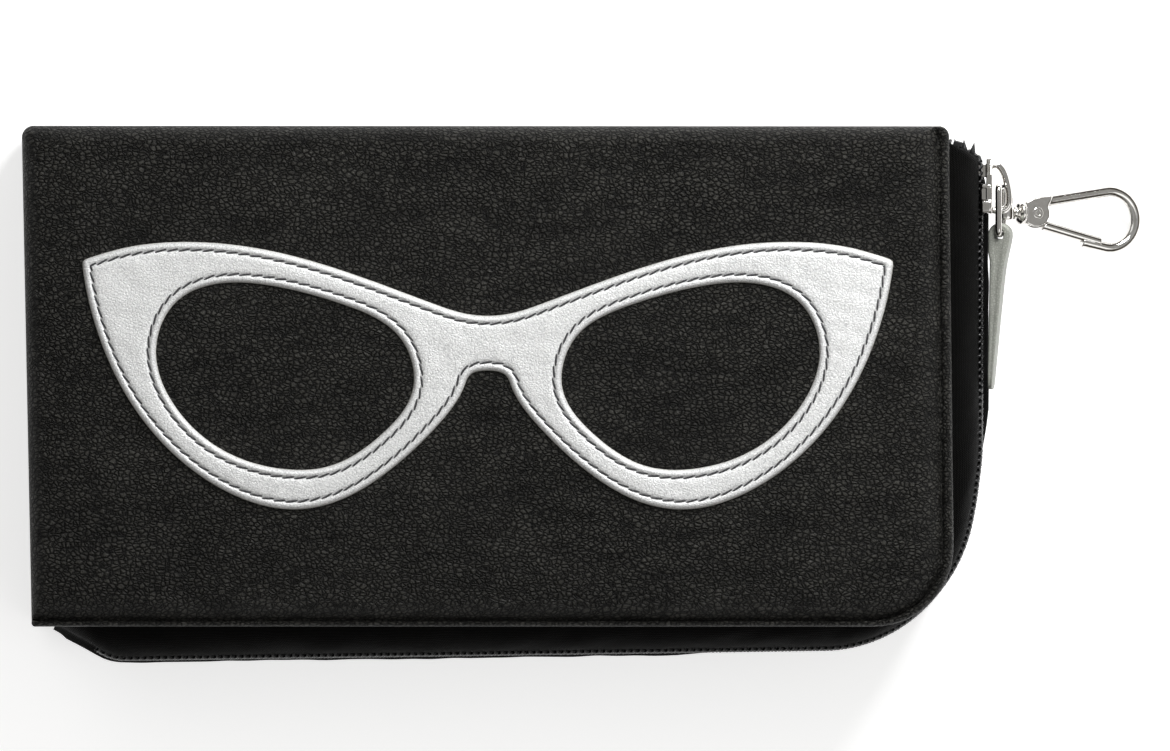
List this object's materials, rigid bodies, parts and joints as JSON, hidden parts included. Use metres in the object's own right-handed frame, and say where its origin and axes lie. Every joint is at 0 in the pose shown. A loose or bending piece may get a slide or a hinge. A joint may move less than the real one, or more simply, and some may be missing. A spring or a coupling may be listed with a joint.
{
  "type": "zipped glasses case",
  "caption": "Soft leather case for several pairs of glasses: padded covers, zip round two edges, two padded dividers, pull tab and swivel snap hook.",
  "frame": {"origin": "on the outer face of the back cover, near the middle of the case, where it rests on a table", "axes": "+X towards the zipped short side and its clasp, +Y towards the folded long side, +Z out of the front cover"},
  "size_m": [0.2444, 0.1164, 0.0451],
  "materials": {
    "black_leather": "soft pebbled black leather",
    "silver_leather": "metallic silver leather with a fine grain",
    "tab_leather": "silver grey leather strap",
    "grey_thread": "dark grey sewing thread",
    "zip_tape": "black woven polyester tape",
    "zip_coil": "black nylon coil",
    "lining": "dark woven lining",
    "foam": "soft foam wadding",
    "board": "stiffening board",
    "nickel": "polished nickel plate",
    "spring_steel": "spring steel"
  },
  "bodies": {
    "root": {"back_panel": "black_leather", "back_binding": "black_leather", "back_padding": "foam", "back_board": "board", "back_lining": "lining", "spine_fold": "black_leather", "side_gusset": "black_leather", "rear_divider": "lining", "rear_divider_binding": "black_leather", "front_divider": "lining", "front_divider_binding": "black_leather", "zip_coil_back": "zip_coil", "zip_tape_back": "zip_tape", "zip_top_stop_back": "nickel", "zip_bottom_stop": "nickel"},
    "front_cover": {"front_panel": "black_leather", "front_binding": "black_leather", "front_padding": "foam", "front_board": "board", "front_lining": "lining", "zip_coil_front": "zip_coil", "zip_tape_front": "zip_tape", "zip_top_stop_front": "nickel", "glasses_patch": "silver_leather", "patch_outer_thread": "grey_thread", "patch_left_lens_thread": "grey_thread", "patch_right_lens_thread": "grey_thread"},
    "slider": {"slider_body": "nickel", "slider_bridge": "nickel"},
    "ring": {"pull_ring": "nickel"},
    "tab": {"pull_tab": "tab_leather"},
    "eye": {"swivel_eye": "nickel"},
    "hook": {"hook_body": "nickel", "gate_rivet": "nickel", "gate_spring": "spring_steel"},
    "gate_arm": {"gate": "nickel"}
  },
  "joints": [
    {"name": "cover_open", "type": "hinge", "parent": "root", "child": "front_cover", "pos_m": [0, 0.0574, 0.022], "axis": [-1, 0, 0], "range_deg": [0, 35], "deforming": ["spine_fold", "side_gusset"]},
    {"name": "slider_travel", "type": "slide", "parent": "root", "child": "slider", "axis": [0, -1, 0], "range_m": [0, 0.055]},
    {"name": "ring_swing", "type": "hinge", "parent": "slider", "child": "ring", "pos_m": [0.10815, 0.0452, 0.022], "axis": [-0.1045, 0, 0.9945], "range_deg": [0, 90]},
    {"name": "tab_swing", "type": "hinge", "parent": "ring", "child": "tab", "pos_m": [0.10815, 0.0348, 0.022], "axis": [-0.1045, 0, 0.9945], "range_deg": [0, 55]},
    {"name": "clasp_swing", "type": "hinge", "parent": "ring", "child": "eye", "pos_m": [0.1087, 0.0395, 0.01673], "axis": [0, 1, 0], "range_deg": [-35, 40]},
    {"name": "hook_swivel", "type": "hinge", "parent": "eye", "child": "hook", "pos_m": [0.1087, 0.0395, 0.01673], "axis": [0.9063, 0, -0.4226], "continuous": true},
    {"name": "gate_open", "type": "hinge", "parent": "hook", "child": "gate_arm", "pos_m": [0.11586, 0.0395, 0.01339], "axis": [0.4226, 0, 0.9063], "range_deg": [0, 25], "stiffness_Nm_per_rad": 0.0008, "springref_deg": -28.65}
  ]
}
